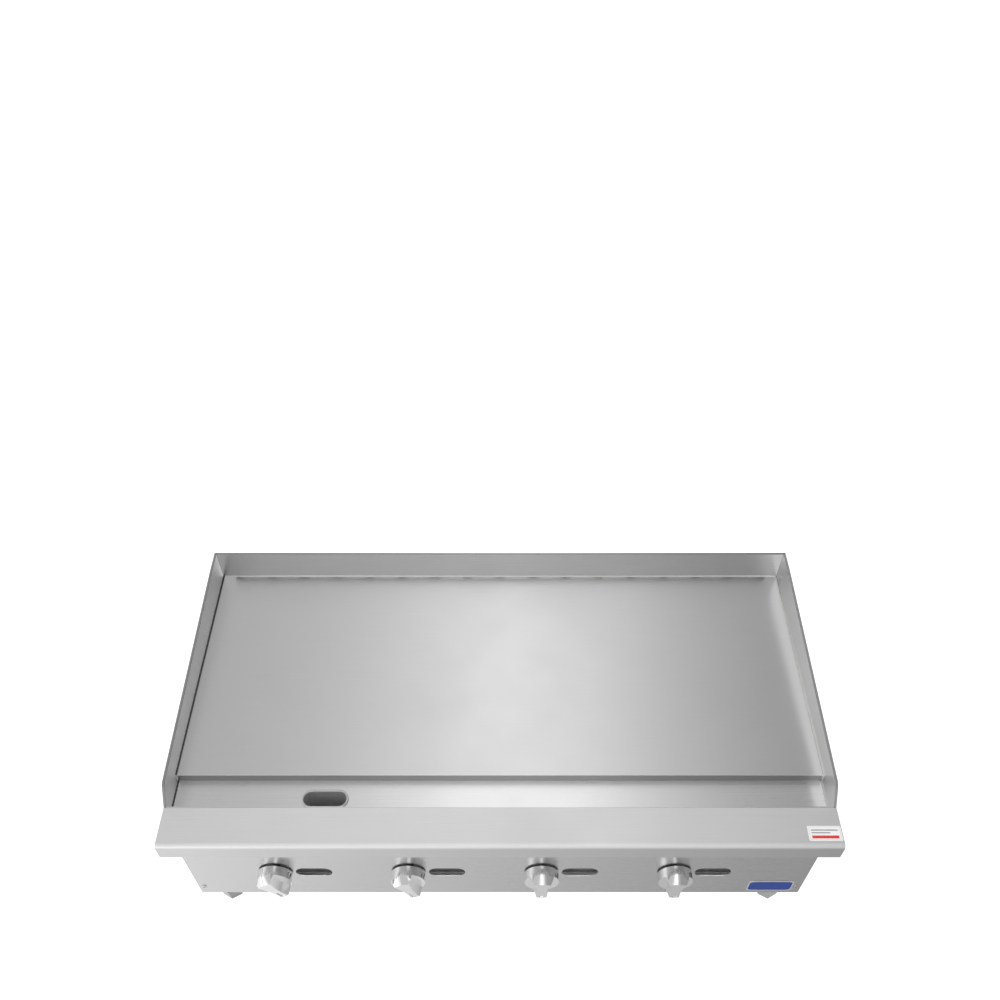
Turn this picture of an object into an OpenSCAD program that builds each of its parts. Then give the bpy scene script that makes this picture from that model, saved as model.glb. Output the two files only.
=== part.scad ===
// Flat top griddle: a four-burner gas countertop griddle, assembled from sheet steel, plate and gas fittings.
// Front faces -Y, the bench is z = 0 and x = 0 is the middle of the width. Millimetres.
// Modules are drawn with y = 0 at the cooking plate's front edge; placed() moves them to the row's origin.

/* [Cooking plate] */
// Width over both side splashes
overall_w = 1219; // [1200:1:1240]
// Height of the cooking surface above the bench
plate_top = 310; // [306:1:320]
// Thickness of the cooking plate
plate_t = 19; // [16:1:20]
// Front to back length of the cooking plate
plate_d = 513; // [505:1:520]
// Thickness of the side and back splashes
splash_t = 5; // [4:0.5:6]
// Height of the splashes at the back, above the plate
splash_h = 66; // [62:1:80]
// Height of the side splashes at the front, above the plate
splash_front_h = 42; // [38:1:48]

/* [Grease trough and front ledge] */
// Front to back width of the trough
trough_w = 73; // [70:1:78]
// Thickness of the trough sheet
trough_t = 2; // [1.5:0.5:2]
// Sideways place of the drain
drain_x = -324; // [-326:1:-322]
// Length of the drain's opening
drain_l = 80; // [74:1:82]
// Width of the drain's opening
drain_w = 31; // [28:1:34]
// Flat top of the ledge, front to back
ledge_d = 71; // [66:1:74]
// Height of the ledge's top above the plate
ledge_rise = 7; // [6:1:9]
// Radius of the ledge's rounded nose
nose_r = 10; // [9:1:13]
// How far the ledge's lip hangs below the plate's top
ledge_drop = 31; // [29:1:34]

/* [Casing] */
// Width of the casing under the plate
casing_w = 1162; // [1150:1:1170]
// Height of the casing's bottom above the bench
leg_h = 102; // [101:1:104]
// Thickness of the casing's sheet
sheet = 1.5; // [1.2:0.1:1.6]
// Thickness of the sheets inside and under the casing
liner = 0.9; // [0.8:0.1:1.2]
// Distance from the plate's front edge forward to the front panel's face
panel_ahead = 138; // [137:1:140]
// Distance from the plate's front edge back to the rear panel's face
rear_y = 550; // [548:1:556]
// Height of the flue riser above the plate
flue_rise = 30; // [26:1:34]

/* [Controls] */
// Number of burners, each with its own valve and knob
burners = 4; // [4:1:4]
// Sideways place of the first knob
knob_x0 = -421; // [-422:1:-420]
// Distance from one knob to the next
knob_pitch = 249.5; // [248:0.5:251]
// Height of the knobs' axes above the bench
knob_z = 189; // [188:1:190]
// Knob diameter
knob_d = 64; // [60:1:66]
// Knob length out from the panel
knob_l = 35; // [34:1:36]
// Turn of each knob from OFF, anticlockwise seen from the front
knob_turn = [35, 25, 0, 0]; // [0:1:45]
// Length of each lighting slot
slot_l = 68; // [60:1:70]
// Height of each lighting slot
slot_h = 31; // [24:1:34]
// Sideways distance from a knob to its lighting slot
slot_dx = 72; // [71:1:74]

/* [Feet] */
// Sideways place of the legs either side of the middle
leg_x = 551; // [550:1:551]
// Place of the front legs
leg_front_y = -83; // [-84:1:-80]
// Place of the rear legs
leg_rear_y = 480; // [470:1:485]
// Height of the hexagonal foot below the leg
foot_h = 34; // [30:1:36]

/* [Hidden] */
$fn = 64;
plate_hw = overall_w / 2 - splash_t;
plate_z0 = plate_top - plate_t;
shelf_z = plate_z0 - trough_t;            // underside of the trough sheet, and top of the casing
ledge_top = plate_top + ledge_rise;
ledge_z0 = plate_top - ledge_drop;
nose_y = -trough_w - ledge_d;             // where the ledge's flat top meets its nose
ledge_front = nose_y - nose_r;
drain_y = -40.5;
rim_l = drain_l + 7;
rim_w = drain_w + 8;
chute_z0 = 96;
casing_hw = casing_w / 2;
panel_y = -panel_ahead;
behind_panel = panel_y + sheet;
before_rear = rear_y - sheet;
flange = 18.5;                            // width of the casing's folded edges
flange_x = casing_hw - sheet - flange;
floor_hw = flange_x - 1;
splash_y = plate_d + splash_t;            // rear face of the back splash
flue_top = plate_top + flue_rise;
axis_y = -105;                            // centre line of the manifold and its valves
pipe_z = 150;                             // height of the manifold and the supply pipe
pipe_r = 13.35;
supply_x = 535;
shield_x = 510;                           // right end of the heat shield, short of the supply pipe
shield_z = pipe_z;
stem_r = 4;
stem_l = 54;
stem_back = -108;                         // rear end of a valve's bore for its stem
running = 0.05;                           // radial clearance of parts that turn
knob_gap = 3;
knob_base = panel_y - knob_gap;
tube_r = 20;
mix_r = 16;
tube_wall = 1.5;
leg_gap = 124.5;                          // distance between a burner's two legs
bend_y = 400;
front_end = -66;                          // front end of a burner's mixing tube
pilot_dx = 50;
pilot_z = knob_z;
drawer_hw = 110;
drawer_top = 93.6;
drawer_y0 = -100;
drawer_y1 = 220;
drawer_z0 = 24;
handle_half = 50;
handle_z = 80;
front_screw_x = 570;
front_screw_z = 129;
rear_screw_x = 572;
rear_screw_heights = [140, 195, 250];
bolt_hole_r = 3.3;
screw_hole_r = 2.1;
plug_r = 18;                              // circle round the manifold's hexagonal end plug
pipe_bore_r = 10.4;
knob_front = knob_base - knob_l;
inlet_end = rear_y + 28;
middle_y = (knob_front + inlet_end) / 2;  // halfway between the knobs' fronts and the gas inlet's end
leg_places = [for (x = [-leg_x, leg_x], y = [leg_front_y, leg_rear_y]) [x, y]];
bolt_offsets = [for (x = [-22, 22], y = [-22, 22]) [x, y]];

function knob_x(i) = knob_x0 + (i - 1) * knob_pitch;

// ---- shared shapes ----

// Moves a piece drawn from the plate's front edge to the row's origin.
module placed() {
    translate([0, -middle_y, 0]) children();
}

// A block between two opposite corners.
module block(low, high) {
    translate(low) cube(high - low);
}

// A flat shape with two round ends, l long and w wide.
module stadium(l, w) {
    square([l - w, w], center = true);
    for (side = [-1, 1]) translate([side * (l - w) / 2, 0]) circle(d = w);
}

// Extrudes a profile drawn as (y, z) along the width, centred.
module across(w) {
    rotate([90, 0, 90]) linear_extrude(w, center = true) children();
}

// A cylinder along Y from y0 to y1, about (x, z).
module rod_y(x, z, y0, y1, r) {
    translate([x, y0, z]) rotate([-90, 0, 0]) cylinder(r = r, h = y1 - y0);
}

// A shape of revolution about a line along Y through (x, z); its profile is drawn as (radius, y).
module turned_y(x, z) {
    translate([x, 0, z]) rotate([-90, 0, 0]) rotate_extrude() children();
}

// A flat shape cut through or raised from a vertical panel, from y0 to y1.
module panel_cut(x, z, y0, y1) {
    translate([x, y1, z]) rotate([90, 0, 0]) linear_extrude(y1 - y0) children();
}

// The same piece on both sides of the middle.
module both_sides() {
    children();
    mirror([1, 0, 0]) children();
}

// ---- cooking plate, splashes and trough ----

module griddle_plate() {
    color("#c9cacb") block([-plate_hw, 0, plate_z0], [plate_hw, plate_d, plate_top]);
}

module back_splash() {
    color("#a9abad")
        block([-overall_w / 2, plate_d, plate_z0], [overall_w / 2, splash_y, plate_top + splash_h]);
}

// Side splash: level at the back, sloping down to a rounded corner, then leaning forward down to the ledge.
module side_splash() {
    corner_r = 20;
    lean = 50;                            // angle of the front edge above the level
    level_y = plate_d - 53;
    back_z = plate_top + splash_h;
    corner_z = plate_top + splash_front_h - corner_r;
    corner_y = (corner_z - ledge_top + corner_r * cos(lean)) / tan(lean) + corner_r * sin(lean) - trough_w;
    slope = atan((back_z - corner_z - corner_r) / (level_y - corner_y));
    corner = [corner_y, corner_z];
    translate([plate_hw + splash_t / 2, 0, 0]) across(splash_t) {
        polygon([
            [-trough_w, shelf_z], [plate_d, shelf_z], [plate_d, back_z], [level_y, back_z],
            corner + corner_r * [-sin(slope), cos(slope)], corner,
            corner + corner_r * [-sin(lean), cos(lean)], [-trough_w, ledge_top]
        ]);
        translate(corner) circle(r = corner_r);
    }
}

module left_splash() {
    color("#b4b6b8") mirror([1, 0, 0]) side_splash();
}

module right_splash() {
    color("#b4b6b8") side_splash();
}

// Fillet welds that seal the plate to its three splashes.
module plate_welds() {
    weld = 3;
    color("#d6d7d8") {
        across(2 * (plate_hw - weld)) translate([plate_d, plate_top])
            polygon([[0, 0], [-weld, 0], [-weld / 3, weld / 3], [0, weld]]);
        both_sides() rotate([90, 0, 0]) translate([plate_hw, plate_top, -plate_d]) linear_extrude(plate_d)
            polygon([[0, 0], [-weld, 0], [-weld / 3, weld / 3], [0, weld]]);
    }
}

module grease_trough() {
    spot_r = 1.6;
    color("#bfc1c3") {
        difference() {
            union() {
                block([-plate_hw, -trough_w, shelf_z], [plate_hw, 20, plate_z0]);
                block([-plate_hw, -trough_w, shelf_z], [plate_hw, trough_t - trough_w, ledge_top]);
            }
            translate([drain_x, drain_y, shelf_z - 1]) linear_extrude(trough_t + 2)
                stadium(rim_l + 2 * running, rim_w + 2 * running);
        }
        for (x = [-1, 1], y = [-1, 1])
            translate([drain_x + x * (rim_l / 2 - 6), drain_y + y * (rim_w / 2 - 1), plate_z0 - 1])
                cylinder(r = spot_r, h = 1.6);
    }
}

// Oval chute that carries grease from the trough down into the drawer.
module drain_chute() {
    rim_rise = 2.5;
    color("#cfd0d1") translate([drain_x, drain_y, 0]) {
        difference() {
            translate([0, 0, chute_z0]) linear_extrude(plate_z0 + rim_rise - chute_z0) stadium(rim_l, rim_w);
            translate([0, 0, chute_z0 - 1]) linear_extrude(plate_z0 - chute_z0 + 10)
                stadium(drain_l, drain_w);
        }
    }
}

// Folded ledge with a rounded nose, hollow underneath, with closed ends.
module front_ledge() {
    module outline(skin) {
        translate([nose_y, ledge_z0 - 1]) square([ledge_d - skin, ledge_top - skin - ledge_z0 + 1]);
        translate([nose_y - nose_r + skin, ledge_z0 - 1]) square([nose_r, ledge_top - nose_r - ledge_z0 + 1]);
        translate([nose_y, ledge_top - nose_r]) circle(r = nose_r - skin);
    }
    inside_w = overall_w - 2 * sheet;
    color("#d2d3d4") {
        difference() {
            across(overall_w) intersection() {
                outline(0);
                translate([ledge_front, ledge_z0]) square([-trough_w - ledge_front, 2 * ledge_drop]);
            }
            across(inside_w) outline(sheet);
            block([-inside_w / 2, -trough_w - 2 * sheet, ledge_z0 - 1], [inside_w / 2, 0, plate_z0 + 9]);
        }
        block([-inside_w / 2, ledge_front + sheet, ledge_z0], [inside_w / 2, panel_y, ledge_z0 + sheet]);
        both_sides() block([casing_hw, panel_y, ledge_z0], [inside_w / 2, -trough_w, ledge_z0 + sheet]);
    }
}

// ---- casing ----

module front_panel() {
    return_z = plate_z0 + 7.5;
    shaft_hole_r = 8;
    color("#c2c4c6") difference() {
        union() {
            block([-casing_hw, panel_y, leg_h], [casing_hw, behind_panel, return_z + sheet]);
            block([6 - casing_hw, panel_y, return_z], [casing_hw - 6, behind_panel + 16, return_z + sheet]);
            block([-floor_hw, panel_y, leg_h], [floor_hw, behind_panel + 19, leg_h + sheet]);
        }
        for (i = [1 : burners]) {
            rod_y(knob_x(i), knob_z, panel_y - 1, behind_panel + 1, shaft_hole_r);
            panel_cut(knob_x(i) + slot_dx, pilot_z, panel_y - 1, behind_panel + 1) stadium(slot_l, slot_h);
        }
        front_screw_cut();
    }
}

// Side panel with its front, rear, top and bottom edges folded inwards.
module side_panel() {
    inner = casing_hw - sheet;
    short_x = inner - 14.5;
    difference() {
        union() {
            block([inner, behind_panel, leg_h], [casing_hw, before_rear, shelf_z]);
            block([flange_x, behind_panel, leg_h], [inner, before_rear, leg_h + sheet]);
            block([flange_x, behind_panel, shelf_z - sheet], [inner, before_rear, shelf_z]);
            block([short_x, behind_panel, leg_h], [inner, behind_panel + sheet, shelf_z]);
            block([short_x, before_rear - sheet, leg_h], [inner, before_rear, shelf_z]);
        }
        leg_bolt_cut();
        front_screw_cut();
        rear_screw_cut();
    }
}

module left_side_panel() {
    color("#b9bbbd") mirror([1, 0, 0]) side_panel();
}

module right_side_panel() {
    color("#b9bbbd") side_panel();
}

module rear_panel() {
    vent_groups = 4;
    group_pitch = 260;
    vent_pitch = 14;
    vent_z = 200;                         // lowest row of vents
    inlet_hole_r = 30;
    color("#b2b4b6") difference() {
        block([-casing_hw, before_rear, leg_h], [casing_hw, rear_y, shelf_z]);
        for (group = [0 : vent_groups - 1], row = [0 : 3])
            panel_cut((group - (vent_groups - 1) / 2) * group_pitch, vent_z + row * vent_pitch,
                      before_rear - 1, rear_y + 1) stadium(150, 6);
        rod_y(supply_x, pipe_z, before_rear - 1, rear_y + 1, inlet_hole_r);
        rear_screw_cut();
    }
}

// Riser behind the back splash that lets the burnt gas out through a slotted top.
module flue_riser() {
    inner = casing_hw - sheet;
    slots = 16;
    slot_pitch = 2 * inner / slots;
    color("#a6a8aa") difference() {
        union() {
            block([-casing_hw, before_rear, shelf_z], [casing_hw, rear_y, flue_top]);
            both_sides() block([inner, splash_y, shelf_z], [casing_hw, before_rear, flue_top]);
            block([-inner, splash_y, flue_top - sheet], [inner, before_rear, flue_top]);
            block([-inner, splash_y, flue_top - 15], [inner, splash_y + sheet, flue_top]);
        }
        for (i = [0 : slots - 1])
            translate([(i + 0.5) * slot_pitch - inner, (splash_y + rear_y) / 2, flue_top - 2 * sheet])
                linear_extrude(3 * sheet) stadium(slot_pitch - 16, 14);
    }
}

module bottom_panel() {
    vent_pitch = 210;
    vent_y = 300;
    row_pitch = 40;
    color("#9fa1a3") difference() {
        block([-floor_hw, behind_panel + 20, leg_h], [floor_hw, before_rear - sheet, leg_h + liner]);
        translate([drain_x, drain_y, leg_h - 1]) linear_extrude(sheet + 2) stadium(rim_l + 6, rim_w + 6);
        for (n = [-2 : 2], row = [-1 : 1])
            translate([n * vent_pitch, vent_y + row * row_pitch, leg_h - 1]) linear_extrude(sheet + 2)
                stadium(120, 12);
        leg_bolt_cut();
    }
}

// Wall between the valve space and the burner box.
module front_baffle() {
    baffle_y = -15;
    color("#a0a2a4") difference() {
        block([-casing_hw + 6, baffle_y, leg_h + 3], [casing_hw - 6, baffle_y + liner, shelf_z - 2]);
        for (i = [1 : burners]) {
            rod_y(knob_x(i), knob_z, baffle_y - 1, baffle_y + liner + 1, mix_r + 5);
            rod_y(knob_x(i) + pilot_dx, pilot_z, baffle_y - 1, baffle_y + liner + 1, 5);
        }
        rod_y(supply_x, pipe_z, baffle_y - 1, baffle_y + liner + 1, pipe_r + 3);
    }
}

// Low wall at the back of the burner box; burnt gas passes over it to the flue.
module rear_baffle() {
    baffle_y = plate_d - 14;
    color("#a0a2a4")
        block([-casing_hw + 6, baffle_y, shield_z], [shield_x, baffle_y + liner, shield_z + 90]);
}

// Tray under the burners that keeps heat off the bench.
module heat_shield() {
    color("#aeb0b2") {
        block([-casing_hw + 11, -13, shield_z - liner], [shield_x, plate_d - 15, shield_z]);
    }
}

// Side strips and two cross angles that carry the plate.
module plate_supports() {
    strut = 3;
    color("#8f9193") {
        both_sides() block([flange_x, 20, shelf_z], [casing_hw - sheet, plate_d, plate_z0]);
        for (y = [20, 450]) {
            block([-floor_hw, y, plate_z0 - strut], [floor_hw, y + 30, plate_z0]);
            block([-floor_hw, y, plate_z0 - 20], [floor_hw, y + strut, plate_z0]);
        }
    }
}

// Two cross angles that the burners lie on.
module burner_rests() {
    color("#96989a") for (y = [60, 380]) {
        block([-casing_hw + 11, y, shield_z], [shield_x, y + 2, knob_z - tube_r]);
        block([-casing_hw + 11, y, knob_z - tube_r - 2], [shield_x, y + 20, knob_z - tube_r]);
    }
}

// ---- burners ----

// U-shaped tube burner: a mixing tube in line with its valve, two legs joined by a bend, ports along the top.
module burner(i) {
    x = knob_x(i);
    ports = 13;
    port_pitch = 27;
    port_lean = 28;
    leg_y = 16;
    color("#8d8f92") difference() {
        union() {
            turned_y(x, knob_z) polygon([
                [7, front_end], [mix_r, front_end], [mix_r, 2], [tube_r, leg_y], [tube_r, bend_y],
                [tube_r - tube_wall, bend_y], [tube_r - tube_wall, leg_y],
                [mix_r - tube_wall, 2], [mix_r - tube_wall, front_end + tube_wall], [7, front_end + tube_wall]
            ]);
            turned_y(x + leg_gap, knob_z) polygon([
                [0, leg_y], [tube_r, leg_y], [tube_r, bend_y], [tube_r - tube_wall, bend_y],
                [tube_r - tube_wall, leg_y + tube_wall], [0, leg_y + tube_wall]
            ]);
            translate([x + leg_gap / 2, bend_y, knob_z]) rotate_extrude(angle = 180)
                translate([leg_gap / 2, 0]) difference() {
                    circle(r = tube_r);
                    circle(r = tube_r - tube_wall);
                }
        }
        for (leg = [x, x + leg_gap], side = [-1, 1], n = [0 : ports - 1])
            translate([leg, 40 + n * port_pitch, knob_z]) rotate([0, side * port_lean, 0])
                cylinder(r = 1.6, h = 30, $fn = 16);
        air_windows(x, mix_r + 1);
    }
}

// Two openings across a tube, which the air shutter uncovers.
module air_windows(x, reach) {
    block([x - 8, front_end + 10, knob_z - reach], [x + 8, front_end + 20, knob_z + reach]);
}

// Sleeve that turns on a burner's mixing tube to set its air.
module air_shutter(i) {
    inner = mix_r + running;
    outer = mix_r + 2;
    x = knob_x(i);
    color("#b0b2b4") {
        difference() {
            turned_y(x, knob_z) translate([inner, front_end + 6]) square([outer - inner, 20]);
            air_windows(x, outer + 1);
        }
        difference() {
            translate([x + inner, front_end + 23, knob_z]) rotate([0, 90, 0]) cylinder(r = 2.5, h = 6);
            rod_y(x, knob_z, front_end, 0, inner + 0.5);
        }
    }
}

// ---- gas train ----

// Plugged pipe along the front that feeds the valves, with an elbow towards the supply pipe.
module gas_manifold() {
    left_end = -470;
    elbow_r = 32;
    bore_r = pipe_bore_r + 0.1;
    bend_x = supply_x - elbow_r;

    module rod_x(x0, x1, r) {
        translate([x0, axis_y, pipe_z]) rotate([0, 90, 0]) cylinder(r = r, h = x1 - x0);
    }

    color("#8b8e91") difference() {
        union() {
            rod_x(left_end, bend_x, pipe_r);
            translate([left_end - 12, axis_y, pipe_z]) rotate([0, 90, 0])
                cylinder(r = plug_r, h = 22, $fn = 6);
            translate([bend_x, axis_y + elbow_r, pipe_z]) rotate([0, 0, -90]) rotate_extrude(angle = 90)
                translate([elbow_r, 0]) circle(r = pipe_r);
            rod_y(supply_x, pipe_z, axis_y + elbow_r, axis_y + elbow_r + 20, pipe_r + 4);
        }
        rod_x(left_end, bend_x, bore_r);
        for (i = [1 : burners]) {
            translate([knob_x(i), axis_y, pipe_z]) cylinder(r = 9 + running, h = 20);
            translate([knob_x(i) + pilot_dx, axis_y, pipe_z]) cylinder(r = 5 + running, h = 20);
        }
    }
}

// Burner valve: brass body screwed into the manifold, with the stem's bore in front.
module valve(i) {
    x = knob_x(i);
    color("#b89a55") difference() {
        union() {
            rod_y(x, knob_z, -122, -92, 14);
            rod_y(x, knob_z, -130, -122, 10);
            translate([x, axis_y, pipe_z + 10]) cylinder(r = 9, h = knob_z - pipe_z - 10);
            translate([x, axis_y, pipe_z + 16]) rotate([0, 0, 30]) cylinder(r = 13, h = 9, $fn = 6);
        }
        rod_y(x, knob_z, -131, stem_back, stem_r + running);
    }
}

// Brass hoods that jet the gas into the burners.
module orifice_hoods() {
    color("#c2a25a") for (i = [1 : burners]) difference() {
        union() {
            translate([knob_x(i), -92, knob_z]) rotate([-90, 0, 0]) cylinder(r = 8, h = 12, $fn = 6);
            rod_y(knob_x(i), knob_z, -80, -70, 4.5);
        }
        rod_y(knob_x(i), knob_z, -93, -72, 2.5);
        rod_y(knob_x(i), knob_z, -73, -69, 0.8);
    }
}

// Steel stem with a flat that drives the knob.
module valve_stem(i) {
    color("#9a9c9e") translate([knob_x(i), 0, knob_z]) rotate([90, 0, 0]) rotate([0, 0, knob_turn[i - 1]])
        difference() {
            translate([0, 0, 0.2 - stem_back]) cylinder(r = stem_r, h = stem_l);
            block([-stem_r, stem_r - 1.2, 5 - knob_base], [stem_r, stem_r + 1, stem_l - stem_back + 1]);
        }
}

module pilot_valves() {
    color("#bd9f58") for (i = [1 : burners]) {
        x = knob_x(i) + pilot_dx;
        difference() {
            union() {
                translate([x, -114, pilot_z]) rotate([-90, 0, 0]) rotate([0, 0, 30])
                    cylinder(r = 8, h = 18, $fn = 6);
                translate([x, axis_y, pipe_z + 11]) cylinder(r = 5, h = pilot_z - pipe_z - 11);
                rod_y(x, pilot_z, -118, -114, 4.5);
            }
            block([x - 0.6, -119, pilot_z - 6], [x + 0.6, -117, pilot_z + 6]);
        }
        difference() {
            translate([x, -96, pilot_z]) rotate([-90, 0, 0]) cylinder(r = 6.5, h = 7, $fn = 6);
            rod_y(x, pilot_z, -95, -88, 3.2);
        }
    }
}

// Aluminium tube from each pilot valve back to its pilot burner.
module pilot_tubes() {
    r = 3.15;
    end_y = 30;
    bend_r = 12;
    color("#c8cacc") for (i = [1 : burners]) translate([knob_x(i) + pilot_dx, 0, pilot_z]) {
        rod_y(0, 0, -95, end_y - bend_r, r);
        translate([0, end_y - bend_r, bend_r]) rotate([0, 90, 0]) rotate_extrude(angle = 90)
            translate([bend_r, 0]) circle(r = r);
        translate([0, end_y, bend_r]) cylinder(r = r, h = 6);
    }
}

module pilot_burners() {
    color("#8a7a52") for (i = [1 : burners]) translate([knob_x(i) + pilot_dx, 30, pilot_z + 18]) {
        cylinder(r = 6, h = 12, $fn = 6);
        translate([0, 0, 12]) cylinder(r = 4.5, h = 10);
        translate([0, 0, 22]) difference() {
            cylinder(r = 7, h = 6);
            translate([0, 0, 2]) cylinder(r = 5.5, h = 5);
        }
    }
}

// Pipe along the right side from the manifold's elbow to the coupling at the back.
module supply_pipe() {
    start = -53;
    coupling_y = rear_y - 36;
    color("#303133") difference() {
        union() {
            rod_y(supply_x, pipe_z, start, coupling_y + 5, pipe_r);
            translate([supply_x, coupling_y, pipe_z]) rotate([-90, 0, 0]) cylinder(r = 19, h = 28, $fn = 8);
        }
        rod_y(supply_x, pipe_z, start - 1, coupling_y + 29, pipe_bore_r);
    }
}

// Threaded gas inlet that sticks out of the rear panel.
module inlet_nipple() {
    color("#85878a") difference() {
        rod_y(supply_x, pipe_z, rear_y - 8, inlet_end, pipe_r);
        rod_y(supply_x, pipe_z, rear_y - 9, inlet_end + 1, pipe_bore_r);
    }
}

// ---- knobs ----

// Knob drawn with its axis along +Z, out of the panel, and OFF pointing along +Y: a flat-faced skirt under a
// grip that is broad towards OFF and narrow at its other end.
module knob_shape() {
    r = knob_d / 2;
    skirt = 18;
    edge = 1.5;
    waist = 13.4;                         // half width of the grip where it meets the skirt
    side_r = 100;                         // radius of the grip's hollowed sides
    draft = 5;                            // how far the sides lean in, from the skirt to the end
    side_y = -16;
    slope_z = 20;                         // where the grip's sloping end starts
    slope = 28;
    barrel_r = 60;                        // curve of the sloping end, across the grip
    wall = 3;
    hub_r = 9;
    groove = 0.8;                         // half width and depth of the pointer groove
    marks = 9;
    difference() {
        union() {
            cylinder(r = r, h = slope_z, $fn = 96);
            intersection() {
                rotate_extrude($fn = 96) polygon([
                    [0, skirt - 1], [r, skirt - 1], [r, knob_l - edge], [r - edge, knob_l], [0, knob_l]
                ]);
                translate([0, r, slope_z]) rotate([slope, 0, 0]) translate([0, -barrel_r, -20])
                    cylinder(r = barrel_r, h = 80, $fn = 128);
            }
        }
        for (side = [-1, 1]) translate([side * (waist + side_r), side_y, skirt])
            cylinder(r1 = side_r, r2 = side_r + draft * 20 / (knob_l - skirt), h = 20, $fn = 128);
        translate([0, r, slope_z]) rotate([slope, 0, 0]) block([-groove, -groove, -1], [groove, 1, knob_l]);
        block([-groove, r - groove, 3], [groove, r + 1, slope_z + 1]);
        // finger rest near the narrow end of the grip
        translate([0, side_y - 4, knob_l - 1.2]) linear_extrude(2) rounded(9, 16, 2);
        // hollow back around the hub
        difference() {
            translate([0, 0, -1]) cylinder(r = r - wall, h = skirt - wall + 1);
            cylinder(r = hub_r, h = skirt);
        }
        // bore with a flat
        difference() {
            translate([0, 0, -1]) cylinder(r = stem_r + 0.02, h = 23);
            block([-stem_r, stem_r - 1.18, 5], [stem_r, stem_r + 1, 23]);
        }
        // scale marks around the skirt
        for (n = [0 : marks - 1]) rotate([0, 0, (n - (marks - 1) / 2) * 9])
            block([-0.5, r - 0.5, 11], [0.5, r + 1, 14]);
    }
}

module knob(i) {
    color("#dcdde0") translate([knob_x(i), knob_base, knob_z]) rotate([90, 0, 0])
        rotate([0, 0, knob_turn[i - 1]]) knob_shape();
}

// ---- grease drawer ----

// Open tray with a rim that hangs on the runners, and a front plate.
module grease_drawer() {
    wall = 1.5;
    rim = 11;
    front_hw = drawer_hw + 15;
    color("#aeb0b2") translate([drain_x, 0, 0]) {
        difference() {
            union() {
                block([-drawer_hw, drawer_y0, drawer_z0], [drawer_hw, drawer_y1, drawer_top]);
                block([-drawer_hw - rim, drawer_y0, drawer_top - wall],
                      [drawer_hw + rim, drawer_y1, drawer_top]);
            }
            block([wall - drawer_hw, drawer_y0, drawer_z0 + wall],
                  [drawer_hw - wall, drawer_y1 - wall, drawer_top + 1]);
        }
        difference() {
            block([-front_hw, drawer_y0 - wall, drawer_z0], [front_hw, drawer_y0, 98]);
            handle_screw_cut();
        }
    }
}

module handle_screw_cut() {
    for (x = [-handle_half, handle_half]) rod_y(x, handle_z, drawer_y0 - 2, drawer_y0 + 1, 2.5);
}

// Bent rod handle, screwed to the drawer's front plate.
module drawer_handle() {
    r = 4;
    bend_r = 7;
    face_y = drawer_y0 - 1.5;
    bar_y = face_y - 12;
    color("#c6c8ca") translate([drain_x, 0, handle_z]) {
        translate([bend_r - handle_half, bar_y, 0]) rotate([0, 90, 0])
            cylinder(r = r, h = 2 * (handle_half - bend_r));
        both_sides() {
            rod_y(handle_half, 0, bar_y + bend_r, face_y, r);
            translate([handle_half - bend_r, bar_y + bend_r, 0]) rotate([0, 0, -90])
                rotate_extrude(angle = 90) translate([bend_r, 0]) circle(r = r);
            rod_y(handle_half, 0, face_y, drawer_y0 + 4, 2.4);
        }
    }
}

// Two Z-section rails under the casing, and a stop bar at their rear ends.
module drawer_runners() {
    web = drawer_hw + 13;
    lip = drawer_hw + 2;
    shelf = drawer_top - 1.6;
    start = drawer_y0 + 2;
    finish = drawer_y1 + 20;
    color("#94969a") translate([drain_x, 0, 0]) {
        both_sides() {
            block([lip, start, shelf - 1.5], [web + 1.5, finish, shelf]);
            block([web, start, shelf - 1.5], [web + 1.5, finish, leg_h]);
            block([web, start, leg_h - 1.5], [web + 17, finish, leg_h]);
        }
        block([-web - 1.5, drawer_y1 + 4, shelf - 1.5], [web + 1.5, drawer_y1 + 6, leg_h]);
    }
}

// ---- legs and feet ----

module legs() {
    color("#d5d6d8") for (place = leg_places) translate([place[0], place[1], 0]) difference() {
        union() {
            block([-29, -29, leg_h - 3], [29, 29, leg_h]);
            translate([0, 0, foot_h + 6]) cylinder(r = 19, h = leg_h - foot_h - 7);
        }
        translate([0, 0, foot_h]) cylinder(r = 8 + running, h = leg_h - foot_h - 8);
        for (offset = bolt_offsets)
            translate([offset[0], offset[1], leg_h - 4]) cylinder(r = bolt_hole_r, h = 6);
    }
}

// Hexagonal foot that narrows downwards, with a threaded stud that screws up into the leg.
module foot(place) {
    top_r = 25;
    bottom_r = 22;
    lean = atan((top_r - bottom_r) * cos(30) / foot_h);
    color("#dadbdd") translate([leg_places[place][0], leg_places[place][1], 0]) {
        difference() {
            rotate([0, 0, 30]) cylinder(r = top_r, h = foot_h, $fn = 6);
            for (side = [0 : 5]) rotate([0, 0, side * 60])
                translate([bottom_r * cos(30), 0, 0]) rotate([0, lean, 0]) block([0, -30, -20], [30, 30, 60]);
        }
        translate([0, 0, foot_h - 4]) cylinder(r = 8, h = leg_h - foot_h - 14);
    }
}

// ---- fasteners ----

module front_screw_cut() {
    both_sides() rod_y(front_screw_x, front_screw_z, panel_y - 1, behind_panel + 3, screw_hole_r);
}

module rear_screw_cut() {
    both_sides() for (z = rear_screw_heights)
        rod_y(rear_screw_x, z, before_rear - 3, rear_y + 1, screw_hole_r);
}

module leg_bolt_cut() {
    for (place = leg_places, offset = bolt_offsets)
        translate([place[0] + offset[0], place[1] + offset[1], leg_h - 1])
            cylinder(r = bolt_hole_r, h = sheet + 2);
}

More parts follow.
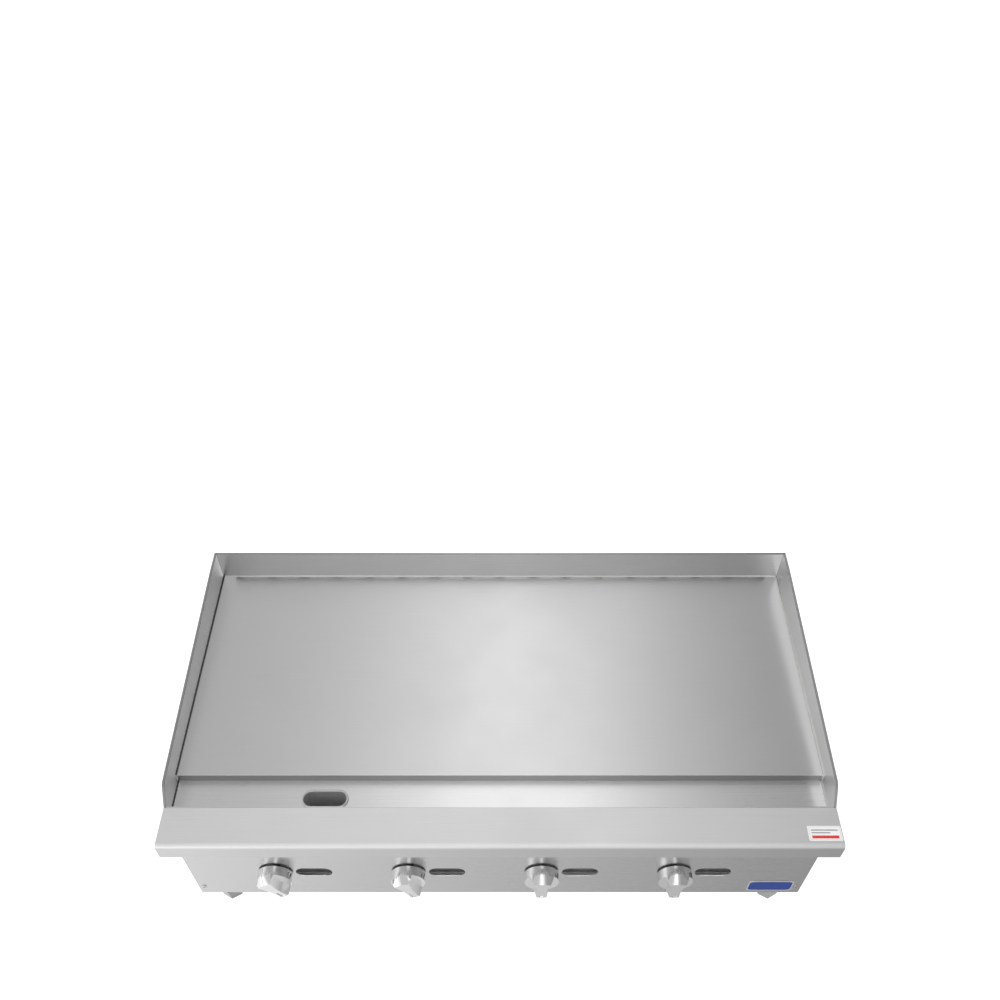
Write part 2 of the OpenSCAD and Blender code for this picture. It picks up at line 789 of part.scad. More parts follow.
// A pan-head screw along Y: its head stands out of the face at y, and its shank runs into it by length.
module pan_screw(x, z, y, out, length) {
    translate([x, y, z]) rotate([-90 * out, 0, 0]) {
        difference() {
            intersection() {
                cylinder(r = 4.5, h = 2.6);
                translate([0, 0, -4]) sphere(r = 6.6);
            }
            for (turn = [0, 90]) rotate([0, 0, turn]) block([-2.6, -0.45, 1.2], [2.6, 0.45, 4]);
        }
        translate([0, 0, -length]) cylinder(r = 2, h = length);
    }
}

module front_screws() {
    color("#d8d9db") both_sides() pan_screw(front_screw_x, front_screw_z, panel_y, -1, 8);
}

module rear_screws() {
    color("#c4c6c8") both_sides() for (z = rear_screw_heights) pan_screw(rear_screw_x, z, rear_y, 1, 8);
}

// Hexagon bolts up through the leg plates, with nuts inside the casing.
module leg_bolts() {
    color("#b5b7b9") for (place = leg_places, offset = bolt_offsets) {
        x = place[0] + offset[0];
        seat = leg_h + (abs(x) > flange_x ? sheet : liner);
        translate([x, place[1] + offset[1], 0]) {
            translate([0, 0, leg_h - 7]) cylinder(r = 5.6, h = 4, $fn = 6);
            translate([0, 0, leg_h - 4]) cylinder(r = 3, h = 16);
            translate([0, 0, seat]) cylinder(r = 5.6, h = 5, $fn = 6);
        }
    }
}

// ---- plates and labels ----

// Flat shape of a blank plate with rounded corners.
module rounded(l, w, r) {
    square([l - 2 * r, w], center = true);
    square([l, w - 2 * r], center = true);
    for (x = [-1, 1], y = [-1, 1]) translate([x * (l / 2 - r), y * (w / 2 - r)]) circle(r = r);
}

module name_plate() {
    plate_x = 520;
    plate_z = 132;
    thick = 1;
    color("#3d5c9c") panel_cut(plate_x, plate_z, panel_y - thick, panel_y) rounded(88, 40, 7);
}

module info_label() {
    label_x = 577.5;
    label_y = -126;
    thick = 0.3;
    color("#f1f0ee") translate([label_x, label_y, ledge_top]) linear_extrude(thick) rounded(60, 30, 2.5);
}

placed() griddle_plate();
placed() back_splash();
placed() left_splash();
placed() right_splash();
placed() plate_welds();
placed() grease_trough();
placed() drain_chute();
placed() front_ledge();
placed() front_panel();
placed() left_side_panel();
placed() right_side_panel();
placed() rear_panel();
placed() flue_riser();
placed() bottom_panel();
placed() front_baffle();
placed() rear_baffle();
placed() heat_shield();
placed() plate_supports();
placed() burner_rests();
placed() burner(1);  // burner_1
placed() burner(2);  // burner_2
placed() burner(3);  // burner_3
placed() burner(4);  // burner_4
placed() air_shutter(1);  // air_shutter_1
placed() air_shutter(2);  // air_shutter_2
placed() air_shutter(3);  // air_shutter_3
placed() air_shutter(4);  // air_shutter_4
placed() gas_manifold();
placed() valve(1);  // valve_1
placed() valve(2);  // valve_2
placed() valve(3);  // valve_3
placed() valve(4);  // valve_4
placed() orifice_hoods();
placed() valve_stem(1);  // valve_stem_1
placed() valve_stem(2);  // valve_stem_2
placed() valve_stem(3);  // valve_stem_3
placed() valve_stem(4);  // valve_stem_4
placed() pilot_valves();
placed() pilot_tubes();
placed() pilot_burners();
placed() supply_pipe();
placed() inlet_nipple();
placed() knob(1);  // knob_1
placed() knob(2);  // knob_2
placed() knob(3);  // knob_3
placed() knob(4);  // knob_4
placed() grease_drawer();
placed() drawer_handle();
placed() drawer_runners();
placed() legs();
placed() foot(0);  // foot_front_left
placed() foot(1);  // foot_rear_left
placed() foot(2);  // foot_front_right
placed() foot(3);  // foot_rear_right
placed() front_screws();
placed() rear_screws();
placed() leg_bolts();
placed() name_plate();
placed() info_label();
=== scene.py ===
"""Looks for the flat top griddle: brushed and ground steel, chrome controls and a plain studio."""
import math

import bmesh
import bpy
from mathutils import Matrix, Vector


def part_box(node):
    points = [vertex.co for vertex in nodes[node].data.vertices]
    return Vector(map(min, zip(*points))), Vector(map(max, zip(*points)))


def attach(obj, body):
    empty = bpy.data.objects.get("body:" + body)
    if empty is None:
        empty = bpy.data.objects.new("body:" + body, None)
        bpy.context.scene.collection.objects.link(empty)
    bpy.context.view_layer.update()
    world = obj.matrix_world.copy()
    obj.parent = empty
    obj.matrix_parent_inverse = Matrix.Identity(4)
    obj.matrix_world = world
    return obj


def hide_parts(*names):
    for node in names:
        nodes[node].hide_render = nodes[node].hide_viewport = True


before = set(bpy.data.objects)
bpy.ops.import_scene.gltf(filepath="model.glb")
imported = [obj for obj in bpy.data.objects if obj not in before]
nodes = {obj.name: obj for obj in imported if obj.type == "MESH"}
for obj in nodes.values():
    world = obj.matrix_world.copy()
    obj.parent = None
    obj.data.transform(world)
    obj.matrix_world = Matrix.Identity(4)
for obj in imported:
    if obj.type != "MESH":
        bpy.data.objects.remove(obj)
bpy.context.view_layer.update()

MM = 0.001
scene = bpy.context.scene


# ---------------------------------------------------------------- node graph helper

class Graph:
    """A material or world node tree, built by naming each node's inputs."""

    def __init__(self, owner):
        owner.use_nodes = True
        self.tree = owner.node_tree
        self.tree.nodes.clear()

    def add(self, kind, inputs=None, **settings):
        node = self.tree.nodes.new(kind)
        for key, value in settings.items():
            setattr(node, key, value)
        for key, value in (inputs or {}).items():
            self.feed(node.inputs[key], value)
        return node

    def feed(self, socket, value):
        if isinstance(value, bpy.types.NodeSocket):
            self.tree.links.new(value, socket)
        else:
            socket.default_value = value

    def maths(self, operation, a, b=0.0, clamp=False):
        node = self.add("ShaderNodeMath", {0: a, 1: b}, operation=operation, use_clamp=clamp)
        return node.outputs[0]

    def span(self, value, low, high, from_low=0.0, from_high=1.0):
        """value rescaled from one range to another, clamped."""
        keys = {"Value": value, "From Min": from_low, "From Max": from_high, "To Min": low, "To Max": high}
        return self.add("ShaderNodeMapRange", keys, clamp=True).outputs["Result"]

    def mix(self, factor, a, b, blend="MIX"):
        node = self.add("ShaderNodeMix", data_type="RGBA", blend_type=blend)
        self.feed(node.inputs["Factor"], factor)
        self.feed(node.inputs[6], a)
        self.feed(node.inputs[7], b)
        return node.outputs[2]

    def ramp(self, factor, stops):
        """Grey ramp through (position, tone) stops."""
        node = self.add("ShaderNodeValToRGB", {0: factor})
        elements = node.color_ramp.elements
        while len(elements) < len(stops):
            elements.new(0.5)
        for element, (position, tone) in zip(elements, stops):
            element.position = position
            element.color = grey(tone)
        return node.outputs[0]

    def place(self):
        """Position in the piece's own frame, in metres."""
        return self.add("ShaderNodeTexCoord").outputs["Object"]

    def stretched(self, scale):
        return self.add("ShaderNodeMapping", {"Vector": self.place(), "Scale": scale}).outputs[0]

    def noise(self, scale, size=1.0, detail=2.0, roughness=0.5):
        keys = {"Vector": self.stretched(scale), "Scale": size, "Detail": detail, "Roughness": roughness}
        return self.add("ShaderNodeTexNoise", keys).outputs["Fac"]

    def bump(self, height, distance, strength=1.0, under=None):
        keys = {"Height": height, "Distance": distance, "Strength": strength}
        if under is not None:
            keys["Normal"] = under
        return self.add("ShaderNodeBump", keys).outputs[0]

    def surface(self, shader):
        self.tree.links.new(shader, self.add("ShaderNodeOutputMaterial").inputs["Surface"])


def grey(value):
    return (value, value, value, 1.0)


# ---------------------------------------------------------------- materials

GRAINS = {"x": (1, 0.02, 0.02), "y": (0.02, 1, 0.02), "z": (0.02, 0.02, 1)}


def across_grain(grain, along, across):
    """Texture scale that draws long streaks along the grain's axis."""
    return tuple(along if axis == grain else across for axis in "xyz")


def brushed(name, tone, rough=0.3, grain="x", contrast=0.10, anisotropy=0.75, depth=0.03, streaks=0.15,
            metallic=1.0, painted_light_by_facing=(), unmirrored=0.0, glow=0.0):
    """Brushed stainless sheet: fine streaks in colour, roughness and height, with slow unevenness.

    The facing rules (axis, sign, stops) paint light and shade into the colour. They scale the tone of faces
    by how squarely they face one way, giving a painted highlight or painted shade that camera rays see in
    full. unmirrored is how far the piece fades from its neighbours' reflections, and glow is painted light:
    an emission that makes the piece look bright in them, though it is no lamp."""
    material = bpy.data.materials.new(name)
    g = Graph(material)
    fine = g.noise(across_grain(grain, 9, 1500), detail=3, roughness=0.65)
    bands = g.noise(across_grain(grain, 1.2, 130), detail=2)
    mottle = g.noise((5, 5, 5), detail=3, roughness=0.6)
    low, high = grey(tone * (1 - contrast)), grey(min(1, tone * (1 + contrast)))
    streaked = g.mix(g.span(fine, 0, 1, 0.3, 0.7), low, high)
    colour = g.mix(g.span(bands, 0, 0.5, 0.35, 0.65), streaked, grey(tone))
    uneven = g.maths("MULTIPLY_ADD", g.maths("SUBTRACT", mottle, 0.5), 0.16)
    grain_rough = g.maths("MULTIPLY", g.maths("SUBTRACT", fine, 0.5), streaks)
    g.feed(uneven.node.inputs[2], rough)
    total = g.maths("ADD", uneven, grain_rough, clamp=True)
    normal = g.add("ShaderNodeNewGeometry").outputs["Normal"]
    tangent = g.add("ShaderNodeVectorMath", {0: normal, 1: GRAINS[grain]}, operation="CROSS_PRODUCT")
    # Painted light and shade by facing: each rule scales the colour of faces turned one way, in full for
    # camera rays and at half strength for other rays.
    for axis, sign, stops in painted_light_by_facing:
        along_axis = g.add("ShaderNodeSeparateXYZ", {0: normal}).outputs[axis]
        facing = g.maths("MULTIPLY", along_axis, sign, clamp=True)
        strength = g.span(g.add("ShaderNodeLightPath").outputs["Is Camera Ray"], 0.5, 1.0)
        colour = g.mix(strength, colour, g.ramp(facing, stops), blend="MULTIPLY")
    steel = g.add("ShaderNodeBsdfPrincipled", {
        "Base Color": colour, "Metallic": metallic, "Roughness": total, "Anisotropic": anisotropy,
        "Tangent": tangent.outputs[0], "Normal": g.bump(fine, depth * MM),
    }).outputs[0]
    if unmirrored:
        stand_in = g.add("ShaderNodeBsdfTransparent").outputs[0]
        # Painted light: glow makes the piece shine in its neighbours' reflections, though it is no lamp.
        if glow:
            stand_in = g.add("ShaderNodeEmission", {"Strength": glow}).outputs[0]
        faded = g.add("ShaderNodeMixShader", {0: unmirrored, 1: steel, 2: stand_in}).outputs[0]
        glossy = g.add("ShaderNodeLightPath").outputs["Is Glossy Ray"]
        steel = g.add("ShaderNodeMixShader", {0: glossy, 1: steel, 2: faded}).outputs[0]
    g.surface(steel)
    return material


def ground_edge(name, tone=0.78, rough=0.22):
    """Deburred sheet edge: bright, with short cross scratches."""
    material = bpy.data.materials.new(name)
    g = Graph(material)
    scratch = g.noise((900, 900, 900), detail=2)
    g.surface(g.add("ShaderNodeBsdfPrincipled", {
        "Base Color": g.mix(scratch, grey(tone * 0.9), grey(tone)), "Metallic": 1.0,
        "Roughness": g.span(scratch, rough - 0.05, rough + 0.1), "Normal": g.bump(scratch, 0.03 * MM),
    }).outputs[0])
    return material


def chrome(name, tone=0.86, rough=0.10):
    """Plated casting: bright, with a trace of orange peel and fine polishing marks."""
    material = bpy.data.materials.new(name)
    g = Graph(material)
    peel = g.noise((160, 160, 160), detail=2)
    marks = g.noise((300, 2600, 300), detail=2, roughness=0.7)
    g.surface(g.add("ShaderNodeBsdfPrincipled", {
        "Base Color": g.mix(marks, grey(tone * 0.95), grey(tone)), "Metallic": 1.0,
        "Roughness": g.span(marks, rough - 0.03, rough + 0.05),
        "Normal": g.bump(peel, 0.06 * MM, under=g.bump(marks, 0.01 * MM)),
    }).outputs[0])
    return material


def painted(name, colour, rough=0.4):
    """Paint, enamel or plastic: slight unevenness of colour and gloss over fine orange peel."""
    material = bpy.data.materials.new(name)
    g = Graph(material)
    peel = g.noise((500, 500, 500), detail=2)
    patch = g.noise((30, 30, 30), detail=3)
    darker = tuple(0.86 * c for c in colour)
    g.surface(g.add("ShaderNodeBsdfPrincipled", {
        "Base Color": g.mix(patch, (*darker, 1), (*colour, 1)),
        "Roughness": g.span(patch, rough - 0.05, rough + 0.08),
        "Normal": g.bump(peel, 0.05 * MM),
    }).outputs[0])
    return material


def cast_metal(name, colour, rough=0.35, pit=0.12, left_painted_shade=None):
    """Turned or cast fitting: metallic colour with small pits and dull patches, and a painted shade by the
    left splash.
    """
    material = bpy.data.materials.new(name)
    g = Graph(material)
    pits = g.noise((420, 420, 420), detail=3, roughness=0.7)
    patch = g.noise((60, 60, 60), detail=2)
    dull = tuple(0.7 * c for c in colour)
    shade = g.mix(patch, (*dull, 1), (*colour, 1))
    # Painted shade: the metal left of the plate's left edge, by the left splash, gets a dark tone.
    if left_painted_shade is not None:
        bead_width = 4 * MM
        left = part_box("griddle_plate")[0].x + bead_width
        sideways = g.add("ShaderNodeSeparateXYZ", {0: g.place()}).outputs["X"]
        shade = g.mix(g.maths("LESS_THAN", sideways, left), shade, grey(left_painted_shade))
    g.surface(g.add("ShaderNodeBsdfPrincipled", {
        "Base Color": shade, "Metallic": 1.0,
        "Roughness": g.span(patch, rough, rough + 0.2), "Normal": g.bump(pits, pit * MM),
    }).outputs[0])
    return material


def framed_enamel(name, node, colour):
    """Blank enamelled plate in one colour inside a raised, polished rim."""
    border = 3 * MM
    low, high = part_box(node)
    material = bpy.data.materials.new(name)
    g = Graph(material)
    parts = g.add("ShaderNodeSeparateXYZ", {0: g.place()}).outputs

    def outward(axis, start, end):
        off = g.maths("ABSOLUTE", g.maths("SUBTRACT", parts[axis], (start + end) / 2))
        return g.maths("POWER", g.maths("DIVIDE", off, (end - start) / 2 - border), 8)

    far_out = g.maths("ADD", outward("X", low.x, high.x), outward("Z", low.z, high.z))
    rim = g.maths("GREATER_THAN", far_out, 1.0)
    cloud = g.noise((90, 90, 90), detail=3)
    peel = g.noise((600, 600, 600), detail=2)
    darker = tuple(0.85 * c for c in colour)
    fill = g.mix(cloud, (*darker, 1), (*colour, 1))
    g.surface(g.add("ShaderNodeBsdfPrincipled", {
        "Base Color": g.mix(rim, fill, grey(0.95)), "Metallic": rim, "Roughness": g.span(peel, 0.16, 0.26),
        "Specular IOR Level": 0.18,
        "Normal": g.bump(rim, 0.3 * MM, under=g.bump(peel, 0.02 * MM)),
    }).outputs[0])
    return material


def label_print(name):
    """Plain white film sticker: two grey bars over a coloured stripe inside a thin frame."""
    low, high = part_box("info_label")
    material = bpy.data.materials.new(name)
    g = Graph(material)
    parts = g.add("ShaderNodeSeparateXYZ", {0: g.place()})
    across = g.span(parts.outputs["X"], 0, 1, low.x, high.x)
    up = g.span(parts.outputs["Y"], 0, 1, low.y, high.y)

    def window(value, start, end):
        return g.maths("MULTIPLY", g.maths("GREATER_THAN", value, start), g.maths("LESS_THAN", value, end))

    def area(left, right, bottom, top):
        return g.maths("MULTIPLY", window(across, left, right), window(up, bottom, top))

    film = grey(0.93)
    ink = g.mix(area(0.10, 0.90, 0.16, 0.36), film, (0.72, 0.045, 0.045, 1))
    for row, end in ((0.72, 0.90), (0.54, 0.66)):
        ink = g.mix(area(0.10, end, row - 0.04, row + 0.04), ink, grey(0.3))
    frame_line = g.maths("SUBTRACT", area(0.04, 0.97, 0.06, 0.94), area(0.055, 0.955, 0.09, 0.91))
    ink = g.mix(g.maths("MULTIPLY", frame_line, 0.5), ink, grey(0.3))
    scuff = g.noise((140, 140, 140), detail=4)
    ink = g.mix(g.span(scuff, 0, 0.2, 0.55, 0.75), ink, grey(0.7))
    peel = g.noise((700, 700, 700), detail=2)
    # Painted light: the print is given a faint emission, though it is no lamp.
    g.surface(g.add("ShaderNodeBsdfPrincipled", {
        "Base Color": ink, "Roughness": g.span(peel, 0.3, 0.42), "Normal": g.bump(peel, 0.02 * MM),
        "Emission Color": ink, "Emission Strength": 0.22,
    }).outputs[0])
    return material


# ---------------------------------------------------------------- softening CAD pieces

def soften(node, materials, edge_mm, segments):
    """Rounds a CAD node's edges with modifiers and gives it its materials: faces first, then edges."""
    weld_distance = 0.004 * MM
    flat_angle, sharp_angle = math.radians(0.6), math.radians(32)
    obj = nodes[node]
    obj.data.materials.clear()
    for material in materials:
        obj.data.materials.append(material)
    if "custom_normal" in obj.data.attributes:
        obj.data.attributes.remove(obj.data.attributes["custom_normal"])
    obj.data.shade_smooth()
    weld = obj.modifiers.new("weld", "WELD")
    weld.merge_threshold = weld_distance
    flat = obj.modifiers.new("flat", "DECIMATE")
    flat.decimate_type = "DISSOLVE"
    flat.angle_limit = flat_angle
    if edge_mm:
        bevel = obj.modifiers.new("edges", "BEVEL")
        bevel.width = edge_mm * MM
        bevel.segments = segments
        bevel.limit_method = "ANGLE"
        bevel.angle_limit = sharp_angle
        bevel.harden_normals = True
        bevel.material = len(materials) - 1
        bevel.miter_outer = "MITER_ARC"
    normals = obj.modifiers.new("normals", "WEIGHTED_NORMAL")
    normals.keep_sharp = True
    normals.weight = 100


steel_x = brushed("steel_long_grain", 0.60)
edge = ground_edge("steel_ground_edge")
# Painted shade: a darker copy of the ground edge for the splashes' edges.
splash_edge_painted_shade = ground_edge("steel_edge_painted_shade", tone=0.34, rough=0.4)
# Painted shade: the plate's front-facing edge is darkened.
plate_steel = brushed("plate_ground_steel", 0.62, rough=0.34, contrast=0.04, anisotropy=0.6,
                      painted_light_by_facing=[("Y", -1, ((0.25, 1), (0.6, 0.60)))])
# The splashes are copies of one brushed steel. The side ones are brighter copies, a painted light, and glow
# in the plate's reflections. All get a painted shade on their tops, and each side one a painted shade on its
# outer face.
splash_back = brushed("splash_steel_across", 0.62, rough=0.33, unmirrored=0.93,
                      painted_light_by_facing=[("Z", 1, ((0.25, 1), (0.6, 0.55)))])
splash_left = brushed("splash_steel_left", 0.95, rough=0.5, grain="y", contrast=0.05,
                      unmirrored=0.7, glow=0.55,
                      painted_light_by_facing=[("Z", 1, ((0.25, 1), (0.6, 0.36))), ("X", -1, ((0.5, 1), (0.9, 0.42)))])
splash_right = brushed("splash_steel_right", 0.88, rough=0.36, grain="y", contrast=0.06,
                       unmirrored=0.9, glow=0.9,
                       painted_light_by_facing=[("Z", 1, ((0.25, 1), (0.6, 0.45))), ("X", 1, ((0.5, 1), (0.9, 0.75)))])
trough_steel = brushed("trough_steel", 0.70, rough=0.30, contrast=0.06)
# Painted light and shade by facing: the ledge's top is toned down, its rounded nose carries a painted
# highlight and its front lip a painted shade.
ledge_steel = brushed("ledge_steel", 0.95, rough=0.47, contrast=0.04, anisotropy=0.15,
                      painted_light_by_facing=[("Y", -1, ((0.1, 0.80), (0.4, 0.92), (0.75, 0.90), (0.97, 0.67)))])
panel_steel = brushed("panel_steel", 0.61, rough=0.27, contrast=0.03, anisotropy=0.5,
                      depth=0.015, streaks=0.08)
casing_steel = brushed("casing_steel", 0.56, rough=0.32, grain="y")
baffle_steel = brushed("baffle_steel", 0.66, rough=0.6, contrast=0.1, anisotropy=0.2, metallic=0.2)
inner_steel = brushed("aluminised_steel", 0.52, rough=0.42, contrast=0.2)
chute_steel = brushed("chute_steel", 0.62, rough=0.5, grain="z", metallic=0.25)
# Painted shade on the weld bead along the left splash.
weld_metal = cast_metal("weld_bead", (0.70, 0.69, 0.67), rough=0.25, pit=0.3, left_painted_shade=0.10)
burner_metal = cast_metal("burner_tube", (0.34, 0.33, 0.33), rough=0.45)
brass = cast_metal("fitting_brass", (0.72, 0.53, 0.24), rough=0.25)
tube_metal = cast_metal("soft_aluminium_tube", (0.72, 0.73, 0.74), rough=0.3)
zinc_pipe = cast_metal("zinc_plated_pipe", (0.52, 0.53, 0.54), rough=0.4)
black_pipe = painted("black_pipe", (0.022, 0.022, 0.024), rough=0.42)
knob_chrome = chrome("knob_chrome", 0.84, 0.12)
leg_chrome = chrome("leg_chrome", 0.55, 0.12)
# Painted shade: the left feet are the same chrome as the right feet, made much darker.
left_foot_chrome_painted_shade = chrome("left_foot_chrome_painted_shade", 0.31, 0.14)
right_foot_chrome = chrome("right_foot_chrome", 0.85, 0.12)
screw_metal = cast_metal("screw_steel", (0.66, 0.66, 0.66), rough=0.2, pit=0.05)
enamel = framed_enamel("name_plate_enamel", "name_plate", (0.030, 0.075, 0.40))
label_film = label_print("label_film")

FINISHES = [
    (["griddle_plate"], [plate_steel, edge], 0.8, 3),
    (["back_splash"], [splash_back, splash_edge_painted_shade], 0.7, 3),
    (["left_splash"], [splash_left, splash_edge_painted_shade], 0.7, 3),
    (["right_splash"], [splash_right, splash_edge_painted_shade], 0.7, 3),
    (["plate_welds"], [weld_metal], 0.5, 2),
    (["grease_trough"], [trough_steel, edge], 0.3, 2),
    (["drain_chute"], [chute_steel, edge], 0.8, 3),
    (["front_ledge"], [ledge_steel, edge], 0.5, 3),
    (["front_panel"], [panel_steel, edge], 0.6, 2),
    (["left_side_panel", "right_side_panel"], [casing_steel, casing_steel], 0.4, 2),
    (["rear_panel", "flue_riser"], [steel_x, edge], 0.3, 2),
    (["bottom_panel", "rear_baffle", "heat_shield"], [inner_steel], 0, 1),
    (["front_baffle"], [baffle_steel], 0, 1),
    (["plate_supports", "burner_rests"], [inner_steel], 0.3, 1),
    (["drawer_runners"], [steel_x], 0.3, 2),
    ([f"burner_{i}" for i in (1, 2, 3, 4)], [burner_metal], 0, 1),
    ([f"air_shutter_{i}" for i in (1, 2, 3, 4)], [tube_metal], 0.2, 1),
    (["gas_manifold"], [zinc_pipe], 0.4, 2),
    (["supply_pipe"], [black_pipe], 0.4, 2),
    ([f"valve_{i}" for i in (1, 2, 3, 4)], [brass], 0.4, 2),
    (["orifice_hoods", "pilot_valves", "pilot_burners"], [brass], 0.4, 2),
    ([f"valve_stem_{i}" for i in (1, 2, 3, 4)], [screw_metal], 0.3, 1),
    (["pilot_tubes"], [tube_metal], 0, 1),
    ([f"knob_{i}" for i in (1, 2, 3, 4)], [knob_chrome], 0.9, 3),
    (["grease_drawer"], [steel_x, edge], 0.4, 2),
    (["drawer_handle"], [leg_chrome], 0, 1),
    (["legs"], [leg_chrome], 0.8, 3),
    (["foot_front_right", "foot_rear_right"], [right_foot_chrome], 0.8, 3),
    (["foot_front_left", "foot_rear_left"], [left_foot_chrome_painted_shade], 0.8, 3),
    (["front_screws", "rear_screws", "leg_bolts"], [screw_metal], 0.2, 2),
    (["name_plate"], [enamel, edge], 0.4, 2),
    (["info_label"], [label_film], 0, 1),
]
for names, materials, edge_mm, segments in FINISHES:
    for name in names:
        soften(name, materials, edge_mm, segments)


# ---------------------------------------------------------------- pieces built here

def add_piece(name, points, faces, material):
    """New mesh piece on the griddle's fixed body."""
    mesh = bpy.data.meshes.new(name)
    mesh.from_pydata(points, [], faces)
    shell = bmesh.new()
    shell.from_mesh(mesh)
    bmesh.ops.recalc_face_normals(shell, faces=shell.faces)
    shell.to_mesh(mesh)
    shell.free()
    mesh.materials.append(material)
    mesh.shade_smooth()
    obj = bpy.data.objects.new(name, mesh)
    scene.collection.objects.link(obj)
    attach(obj, "griddle")
    return obj


def ring_faces(rows, columns):
    """Quads joining rings of points stored ring by ring."""
    faces = []
    for r in range(rows - 1):
        for c in range(columns):
            low, low_next = r * columns + c, r * columns + (c + 1) % columns
            faces.append((low, low_next, low_next + columns, low + columns))
    return faces


def trough_seam(side):
    """Thin weld bead in the corner between the trough's floor and a side splash, with ripples along it."""
    low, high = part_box("grease_trough")
    plate_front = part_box("griddle_plate")[0].y
    floor_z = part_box("griddle_plate")[0].z
    wall_x = high.x if side > 0 else low.x
    start, end = low.y + 2.2 * MM, plate_front - 0.2 * MM
    radius, rows, columns = 2.4 * MM, 180, 7
    points = []
    for row in range(rows):
        along = start + (end - start) * row / (rows - 1)
        ripple = 1 + 0.14 * math.sin(row * 1.05) + 0.08 * math.sin(row * 0.31)
        for column in range(columns):
            turn = math.pi / 2 * column / (columns - 1)
            bulge = radius * ripple * (1 - 0.28 * math.sin(2 * turn))
            points.append((wall_x - side * bulge * math.cos(turn), along, floor_z + bulge * math.sin(turn)))
        points.append((wall_x, along, floor_z))
    around = columns + 1
    faces = ring_faces(rows, around)
    faces += [list(range(around))[::-1], list(range((rows - 1) * around, rows * around))]
    name = "trough_seam_right" if side > 0 else "trough_seam_left"
    add_piece(name, points, faces, weld_metal)


def threaded_nipple():
    """Gas inlet nipple with a helical pipe thread on the end that stands out of the rear panel."""
    low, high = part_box("inlet_nipple")
    middle = (low + high) / 2
    outer, bore = (high.x - low.x) / 2, 10.4 * MM
    pitch, depth, columns = 1.81 * MM, 0.95 * MM, 72
    thread_start = high.y - 21 * MM
    chamfer = 1.4 * MM
    rows = int((high.y - low.y) / (pitch / 8)) + 1
    points = []
    for row in range(rows):
        along = low.y + (high.y - low.y) * row / (rows - 1)
        cut = max(0.0, min(1.0, (along - thread_start) / (2 * pitch)))
        limit = outer - max(0.0, along - (high.y - chamfer))
        for column in range(columns):
            turn = 2 * math.pi * column / columns
            phase = (along / pitch - column / columns) % 1.0
            radius = min(outer - depth * cut * abs(2 * phase - 1), limit)
            points.append((middle.x + radius * math.cos(turn), along, middle.z + radius * math.sin(turn)))
    for along in (high.y, low.y):
        for column in range(columns):
            turn = 2 * math.pi * column / columns
            points.append((middle.x + bore * math.cos(turn), along, middle.z + bore * math.sin(turn)))
    rings = rows + 2
    faces = ring_faces(rings, columns)
    last = (rings - 1) * columns
    for c in range(columns):
        following = (c + 1) % columns
        faces.append((last + c, last + following, following, c))
    nipple = add_piece("inlet_nipple_threaded", points, faces, burner_metal)
    nipple.data.set_sharp_from_angle(angle=math.radians(50))
    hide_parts("inlet_nipple")


for side in (-1, 1):
    trough_seam(side)
threaded_nipple()


# ---------------------------------------------------------------- studio

def studio_floor():
    """Pale floor: plain white from above, clear from below, and lit from the left where metal mirrors it."""
    mesh = bpy.data.meshes.new("floor")
    reach = 30
    corners = [(-reach, -reach, 0), (reach, -reach, 0), (reach, reach, 0), (-reach, reach, 0)]
    mesh.from_pydata(corners, [], [(0, 1, 2, 3)])
    floor = bpy.data.objects.new("floor", mesh)
    scene.collection.objects.link(floor)
    material = bpy.data.materials.new("pale_floor")
    g = Graph(material)
    sideways = g.add("ShaderNodeSeparateXYZ", {0: g.place()}).outputs["X"]
    left_to_right = g.span(sideways, 0.75, 0.12, -0.75, 0.75)
    glow = g.add("ShaderNodeEmission", {"Color": (1, 1, 1, 1), "Strength": left_to_right})
    matt = g.add("ShaderNodeBsdfDiffuse", {"Color": (0.45, 0.45, 0.45, 1)})
    mirrored = g.add("ShaderNodeAddShader", {0: glow.outputs[0], 1: matt.outputs[0]})
    white = g.add("ShaderNodeEmission", {"Color": (1, 1, 1, 1), "Strength": 1.3})
    seen = g.add("ShaderNodeLightPath").outputs["Is Camera Ray"]
    top = g.add("ShaderNodeMixShader", {0: seen, 1: mirrored.outputs[0], 2: white.outputs[0]})
    below = g.maths("MULTIPLY", g.add("ShaderNodeNewGeometry").outputs["Backfacing"], seen)
    clear = g.add("ShaderNodeBsdfTransparent")
    g.surface(g.add("ShaderNodeMixShader", {0: below, 1: top.outputs[0], 2: clear.outputs[0]}).outputs[0])
    mesh.materials.append(material)


def fill_light(name, where, aim, size, power):
    """Soft rectangular lamp that the camera doesn't see."""
    lamp = bpy.data.lights.new(name, "AREA")
    lamp.shape = "RECTANGLE"
    lamp.size, lamp.size_y = size
    lamp.energy = power
    obj = bpy.data.objects.new(name, lamp)
    obj.location = where
    obj.rotation_euler = (Vector(aim) - Vector(where)).to_track_quat("-Z", "Y").to_euler()
    obj.visible_camera = False
    scene.collection.objects.link(obj)


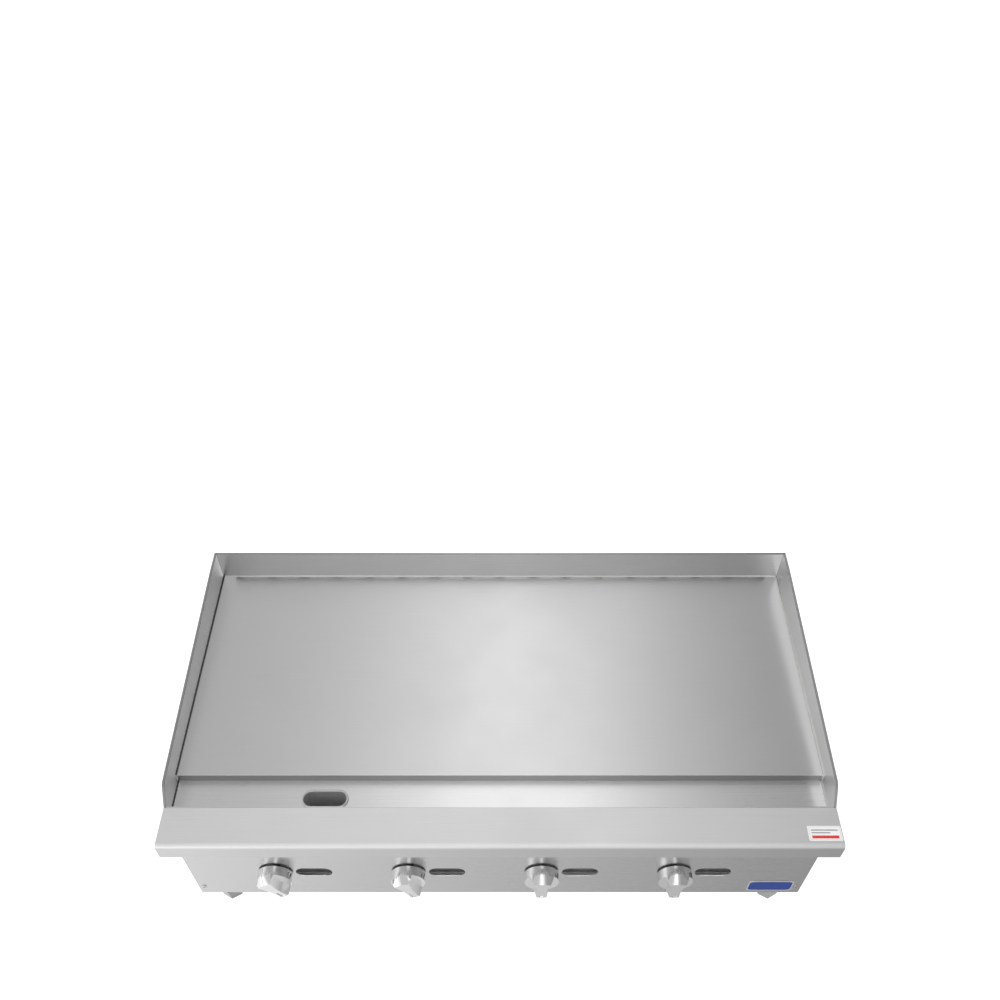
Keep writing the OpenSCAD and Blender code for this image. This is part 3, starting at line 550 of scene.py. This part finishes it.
def studio_world():
    """White surround with a soft light bank overhead, front to back, and a bright wall on the left."""
    world = bpy.data.worlds.new("studio")
    scene.world = world
    g = Graph(world)
    way = g.add("ShaderNodeSeparateXYZ", {0: g.add("ShaderNodeTexCoord").outputs["Generated"]}).outputs
    slant = g.maths("DIVIDE", way["X"], g.maths("MAXIMUM", way["Z"], 0.05))
    away = g.maths("DIVIDE", g.maths("SUBTRACT", slant, 0.02), 0.15)
    bank = g.maths("EXPONENT", g.maths("MULTIPLY", g.maths("MULTIPLY", away, away), -1.0))
    ceiling = g.maths("MULTIPLY_ADD", bank, 1.0)
    g.feed(ceiling.node.inputs[2], g.span(slant, 0.61, 0.36, 0.1, 0.45))
    front = g.maths("MULTIPLY", g.span(way["Y"], 1, 0, -0.85, -0.5), g.span(way["X"], 0.75, 0.1, -0.3, 0.35))
    sides = g.maths("ADD", g.span(way["X"], 1.45, 0.55, -0.85, -0.3), g.span(way["X"], 0, -0.08, 0.2, 0.8))
    wall = g.maths("ADD", front, sides)
    height = g.span(way["Z"], 0, 1, 0.35, 0.6)
    overhead = g.maths("MULTIPLY", ceiling, height)
    around = g.maths("MULTIPLY", wall, g.maths("SUBTRACT", 1, height))
    light = g.maths("ADD", overhead, around)
    seen = g.add("ShaderNodeLightPath").outputs["Is Camera Ray"]
    surround = g.maths("ADD", g.maths("MULTIPLY", light, g.maths("SUBTRACT", 1, seen)), seen)
    sky = g.add("ShaderNodeBackground", {"Color": (1, 1, 1, 1), "Strength": surround})
    g.tree.links.new(sky.outputs[0], g.add("ShaderNodeOutputWorld").inputs["Surface"])


def main_camera():
    """Camera for the main view: high in front of the griddle, looking down at the cooking plate."""
    ahead, above = 0.9378, 1.4929
    downward = math.radians(53.3)
    rise = 0.2
    plate_low, plate_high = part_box("griddle_plate")
    data = bpy.data.cameras.new("camera")
    data.lens = 33.965
    data.sensor_width = 36
    camera = bpy.data.objects.new("camera", data)
    scene.collection.objects.link(camera)
    camera.location = (0, plate_low.y - ahead, plate_high.z + above)
    camera.rotation_euler = (math.radians(90) - downward, 0, 0)
    shift = data.driver_add("shift_y").driver
    shift.type = "SCRIPTED"
    mode = shift.variables.new()
    mode.name = "mode"
    mode.targets[0].id = camera
    mode.targets[0].data_path = "rotation_mode"
    shift.expression = f"{rise} * (mode == 1)"
    scene.camera = camera


scene.view_settings.view_transform = "Standard"
studio_floor()
studio_world()
panel_low, panel_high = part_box("front_panel")
behind_panel = (0, panel_low.y + 0.02, panel_high.z - 0.03)
fill_light("inside_fill", behind_panel, aim=(0, panel_low.y + 0.06, 0.1), size=(1.05, 0.02), power=0.5)
main_camera()
